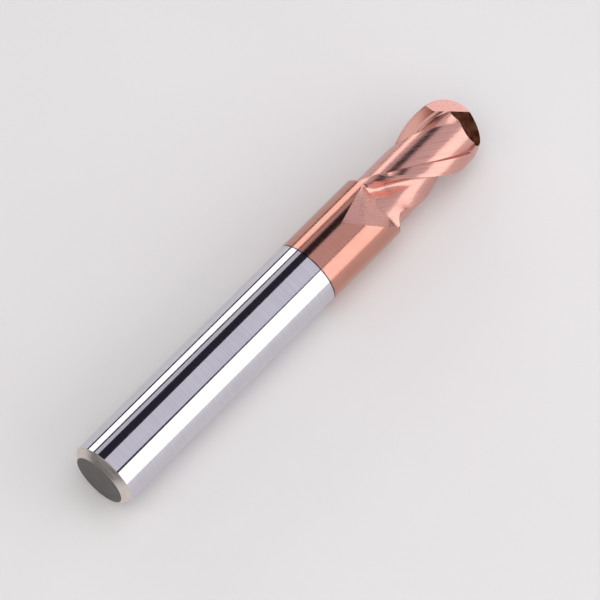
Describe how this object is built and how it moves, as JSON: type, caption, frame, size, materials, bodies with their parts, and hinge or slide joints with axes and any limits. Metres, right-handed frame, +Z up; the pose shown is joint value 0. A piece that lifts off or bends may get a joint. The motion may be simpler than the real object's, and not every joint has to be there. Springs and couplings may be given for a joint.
{
  "type": "ball-nose end mill",
  "caption": "Ball-nose end mill: ground round shank, hard-coated neck and helical fluted head with a hemispherical cutting end.",
  "frame": {"origin": "centre of the shank's back face, on the tool axis", "axes": "+X along the tool axis towards the ball end, +Z up as the tool lies"},
  "size_m": [0.075, 0.01, 0.01],
  "materials": {
    "ground_carbide": "mirror-ground cylinder, fine ground chamfer and back face",
    "coated_cylinder": "bright copper-bronze hard coating over a polished cylinder",
    "coated_flute": "copper-bronze hard coating over ground flutes",
    "coated_tooth": "copper-bronze hard coating over ground teeth"
  },
  "bodies": {
    "root": {"shank": "ground_carbide", "coated_neck": "coated_cylinder", "web": "coated_flute", "tooth_1": "coated_tooth", "tooth_2": "coated_tooth"}
  },
  "joints": []
}
